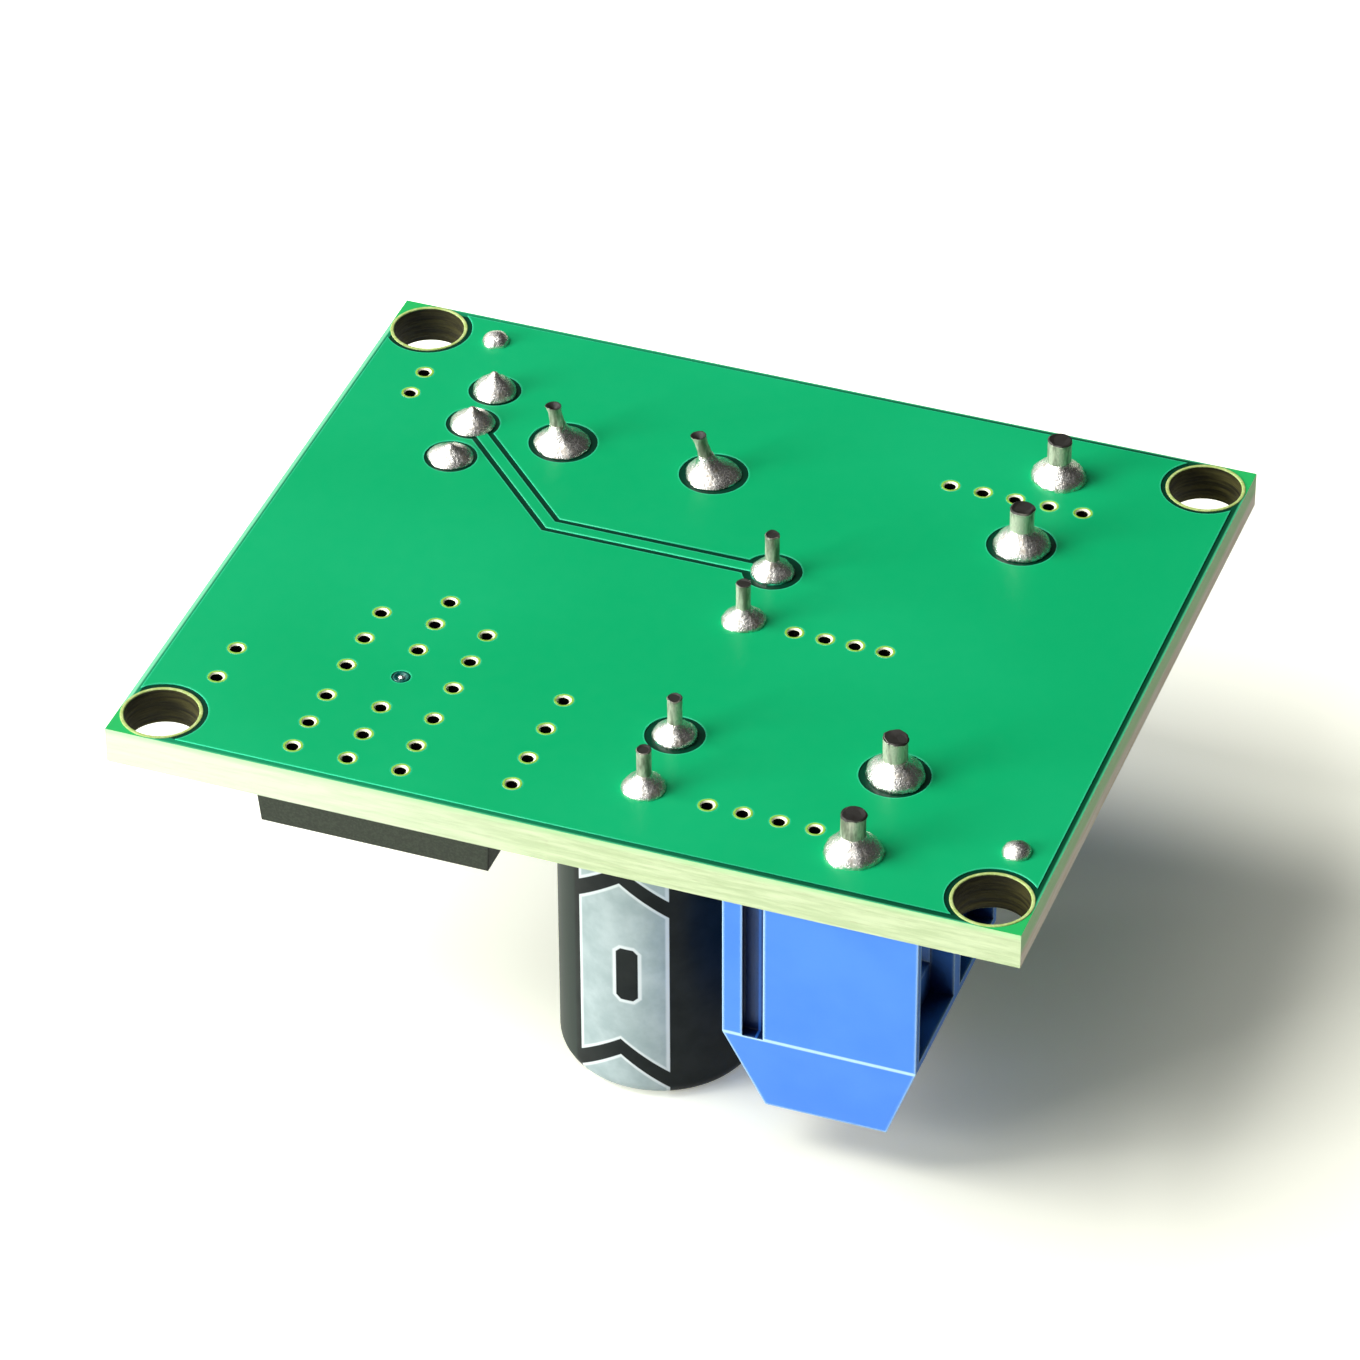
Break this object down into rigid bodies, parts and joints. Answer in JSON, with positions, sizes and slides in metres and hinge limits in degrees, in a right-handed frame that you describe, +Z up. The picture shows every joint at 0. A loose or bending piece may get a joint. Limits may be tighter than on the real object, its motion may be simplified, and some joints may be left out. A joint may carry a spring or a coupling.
{
  "type": "boost converter module",
  "caption": "Small step-up converter board, solder side up, with screw terminals, sleeved capacitors, a choke, a trimmer and a flat power regulator.",
  "frame": {"origin": "on the table under the board's centre; the module lies with its solder side up and stands on the ends of its capacitors and choke", "axes": "+X towards the wire entries of the terminals, +Y towards the trimmer's edge, +Z up out of the solder side"},
  "size_m": [0.038, 0.032, 0.016],
  "materials": {
    "board": "green solder mask on glass-epoxy laminate, satin",
    "solder": "bright uneven solder",
    "tinned_wire": "tinned wire, cut ends dull",
    "capacitor_sleeve": "dark shrunk sleeve with a silver stripe",
    "can": "satin drawn aluminium",
    "rubber": "matt black rubber",
    "ferrite": "dull sintered ferrite",
    "copper_winding": "enamelled copper wire",
    "choke_sleeve": "black shrunk sleeve",
    "blue_housing": "moulded blue nylon, satin",
    "trimmer_blue": "moulded blue plastic, satin",
    "seal_resin": "amber potting resin",
    "brass_screw": "turned brass",
    "wheel_plastic": "moulded natural nylon",
    "wiper": "spring brass",
    "element": "white ceramic with a dark track",
    "contact": "tinned brass",
    "clamp": "nickel-plated brass",
    "screw": "zinc-plated steel",
    "package": "moulded black epoxy, fine grain",
    "slug": "tinned copper",
    "chip_capacitor": "tan ceramic with tinned ends",
    "chip_resistor": "black film on ceramic with tinned ends"
  },
  "bodies": {
    "module": {"circuit_board": "board", "terminal_solder_joints": "solder", "capacitor_solder_joints": "solder", "choke_solder_joints": "solder", "trimmer_solder_joints": "solder", "solder_domes": "solder", "choke_bobbin": "ferrite", "choke_winding": "copper_winding", "choke_sleeve": "choke_sleeve", "choke_leads": "tinned_wire", "trimmer_housing": "trimmer_blue", "trimmer_seal": "seal_resin", "trimmer_pins": "tinned_wire", "trimmer_element": "element", "regulator_body": "package", "regulator_slug": "slug", "regulator_leads": "slug", "diode_body": "package", "diode_leads": "tinned_wire", "output_chip_capacitor": "chip_capacitor", "input_chip_capacitor": "chip_capacitor", "feedback_resistor": "chip_resistor", "divider_resistor": "chip_resistor", "output_capacitor_can": "can", "output_capacitor_sleeve": "capacitor_sleeve", "output_capacitor_seal": "rubber", "output_capacitor_leads": "tinned_wire", "output_terminal_housing": "blue_housing", "input_capacitor_can": "can", "input_capacitor_sleeve": "capacitor_sleeve", "input_capacitor_seal": "rubber", "input_capacitor_leads": "tinned_wire", "input_terminal_housing": "blue_housing", "output_negative_contact": "contact", "output_positive_contact": "contact", "input_positive_contact": "contact", "input_negative_contact": "contact"},
    "trimmer_screw": {"trimmer_screw": "brass_screw"},
    "trimmer_wheel": {"trimmer_wheel": "wheel_plastic", "trimmer_wiper": "wiper"},
    "output_negative_screw": {"output_negative_screw": "screw"},
    "output_negative_clamp": {"output_negative_clamp": "clamp"},
    "output_positive_screw": {"output_positive_screw": "screw"},
    "output_positive_clamp": {"output_positive_clamp": "clamp"},
    "input_positive_screw": {"input_positive_screw": "screw"},
    "input_positive_clamp": {"input_positive_clamp": "clamp"},
    "input_negative_screw": {"input_negative_screw": "screw"},
    "input_negative_clamp": {"input_negative_clamp": "clamp"}
  },
  "joints": [
    {"name": "output_negative_screw_turn", "type": "hinge", "parent": "module", "child": "output_negative_screw", "pos_m": [0.011, 0.01296, 0.0043], "axis": [0, 0, -1], "range_deg": [0, 1760.1]},
    {"name": "output_negative_clamp_slide", "type": "slide", "parent": "module", "child": "output_negative_clamp", "axis": [0, 0, 1], "range_m": [0, 0.0022]},
    {"name": "output_positive_screw_turn", "type": "hinge", "parent": "module", "child": "output_positive_screw", "pos_m": [0.011, 0.00788, 0.0043], "axis": [0, 0, -1], "range_deg": [0, 1760.1]},
    {"name": "output_positive_clamp_slide", "type": "slide", "parent": "module", "child": "output_positive_clamp", "axis": [0, 0, 1], "range_m": [0, 0.0022]},
    {"name": "input_positive_screw_turn", "type": "hinge", "parent": "module", "child": "input_positive_screw", "pos_m": [0.011, -0.0083, 0.0043], "axis": [0, 0, -1], "range_deg": [0, 1760.1]},
    {"name": "input_positive_clamp_slide", "type": "slide", "parent": "module", "child": "input_positive_clamp", "axis": [0, 0, 1], "range_m": [0, 0.0022]},
    {"name": "input_negative_screw_turn", "type": "hinge", "parent": "module", "child": "input_negative_screw", "pos_m": [0.011, -0.01338, 0.0043], "axis": [0, 0, -1], "range_deg": [0, 1760.1]},
    {"name": "input_negative_clamp_slide", "type": "slide", "parent": "module", "child": "input_negative_clamp", "axis": [0, 0, 1], "range_m": [0, 0.0022]},
    {"name": "trimmer_screw_turn", "type": "hinge", "parent": "module", "child": "trimmer_screw", "pos_m": [-0.01394, 0.01175, 0.003], "axis": [0, 0, -1], "range_deg": [-4500, 4500]},
    {"name": "trimmer_wheel_turn", "type": "hinge", "parent": "module", "child": "trimmer_wheel", "pos_m": [-0.01394, 0.00835, 0.00682], "axis": [1, 0, 0], "range_deg": [-137, 137]}
  ],
  "couplings": [
    {"joint": "output_negative_screw_turn", "follows": "output_negative_clamp_slide", "rad_per_m": 13963},
    {"joint": "output_positive_screw_turn", "follows": "output_positive_clamp_slide", "rad_per_m": 13963},
    {"joint": "input_positive_screw_turn", "follows": "input_positive_clamp_slide", "rad_per_m": 13963},
    {"joint": "input_negative_screw_turn", "follows": "input_negative_clamp_slide", "rad_per_m": 13963},
    {"joint": "trimmer_wheel_turn", "follows": "trimmer_screw_turn", "ratio": 0.030303}
  ]
}
